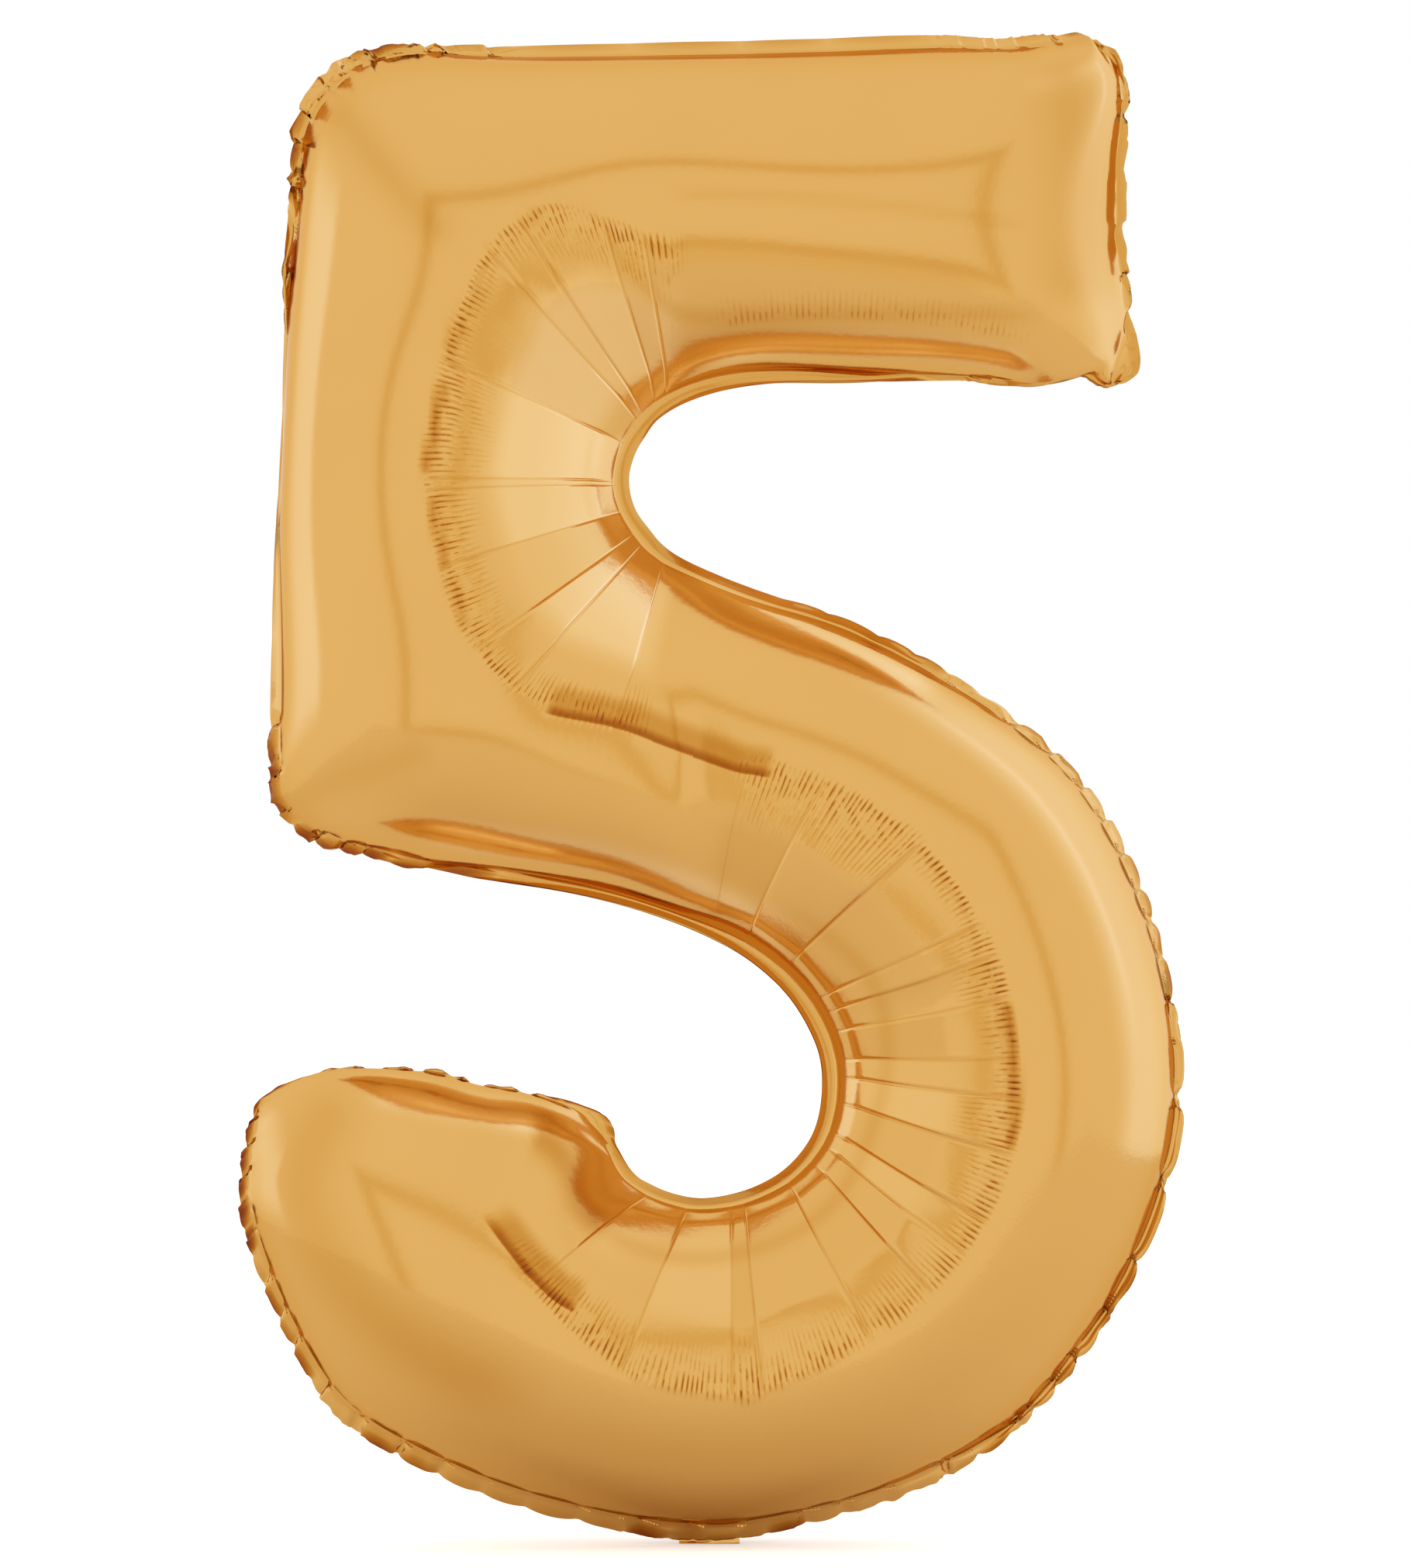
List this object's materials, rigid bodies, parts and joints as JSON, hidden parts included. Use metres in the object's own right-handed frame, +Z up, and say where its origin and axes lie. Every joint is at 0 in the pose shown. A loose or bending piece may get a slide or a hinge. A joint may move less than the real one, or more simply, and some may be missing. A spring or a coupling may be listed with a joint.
{
  "type": "foil balloon",
  "caption": "Inflated foil balloon shaped like a digit five, with a welded edge, a filling tail folded behind its foot and a flat self-sealing valve inside.",
  "frame": {"origin": "middle of the tail's neck, at the lowest point of the welded edge", "axes": "+Z up, +X to the right as the digit is read, the front faces -Y"},
  "size_m": [0.5631, 0.1698, 0.8973],
  "materials": {
    "gold_film": "gloss",
    "clear_film": "gloss"
  },
  "bodies": {
    "balloon": {"front_panel": "gold_film", "rear_panel": "gold_film", "valve_front_film": "clear_film", "valve_rear_film": "clear_film"},
    "tail": {"tail_front_film": "gold_film", "tail_rear_film": "gold_film", "mouth_front_film": "clear_film", "mouth_rear_film": "clear_film"}
  },
  "joints": [
    {"name": "tail_fold", "type": "hinge", "parent": "balloon", "child": "tail", "pos_m": [0, 0, -0.0012], "axis": [-1, 0, 0], "range_deg": [0, 220]}
  ]
}
